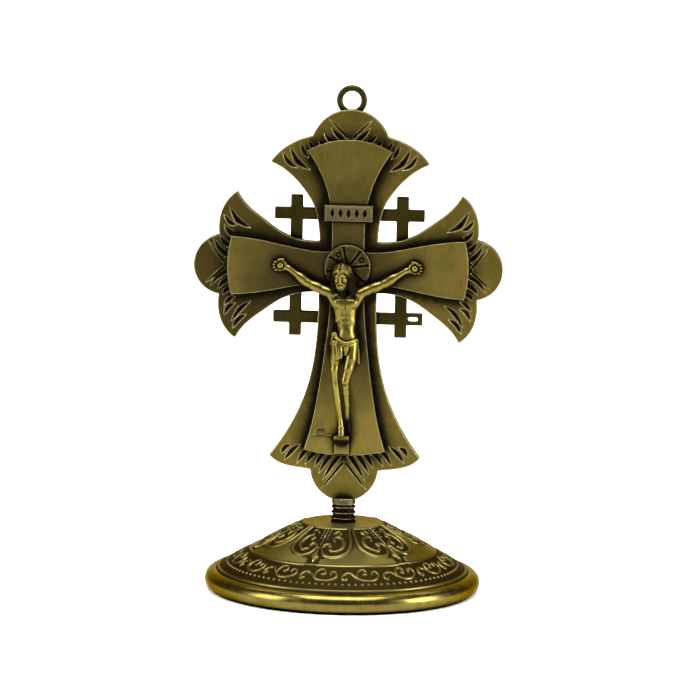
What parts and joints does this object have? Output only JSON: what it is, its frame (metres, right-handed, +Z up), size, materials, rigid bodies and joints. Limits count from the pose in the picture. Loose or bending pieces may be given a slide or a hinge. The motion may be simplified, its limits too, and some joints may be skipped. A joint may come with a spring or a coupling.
{
  "type": "altar cross",
  "caption": "Small standing altar cross: layered flared cross with a crucified figure and four small corner crosses, on a ringed neck screwed to a round domed base.",
  "frame": {"origin": "centre of the base on the surface it stands on", "axes": "+Z up along the stem screw, -Y towards the viewer of the figure, +X to the viewer's right"},
  "size_m": [0.0558, 0.0502, 0.0917],
  "materials": {
    "aged_brass": "satin antique brass with dark patina in the hollows",
    "satin_brass": "fine brushed satin antique brass",
    "dark_brass": "dark patinated brass",
    "bright_brass": "rubbed antique brass",
    "steel": "zinc plated"
  },
  "bodies": {
    "stand": {"base_dome": "aged_brass", "flat_washer": "steel"},
    "cross": {"stem_screw": "steel", "ringed_neck": "aged_brass", "cross_back_plate": "aged_brass", "cross_front_plate": "satin_brass", "small_cross_upper_left": "dark_brass", "small_cross_upper_right": "dark_brass", "small_cross_lower_left": "dark_brass", "small_cross_lower_right": "dark_brass", "title_plaque": "satin_brass", "halo_disc": "aged_brass", "foot_rest": "aged_brass", "corpus": "bright_brass", "hanging_loop": "dark_brass", "hand_nail_left": "bright_brass", "hand_nail_right": "bright_brass", "foot_nail": "bright_brass"}
  },
  "joints": [
    {"name": "cross_turn", "type": "hinge", "parent": "stand", "child": "cross", "pos_m": [0, 0, 0.0124], "axis": [0, 0, 1], "continuous": true}
  ]
}
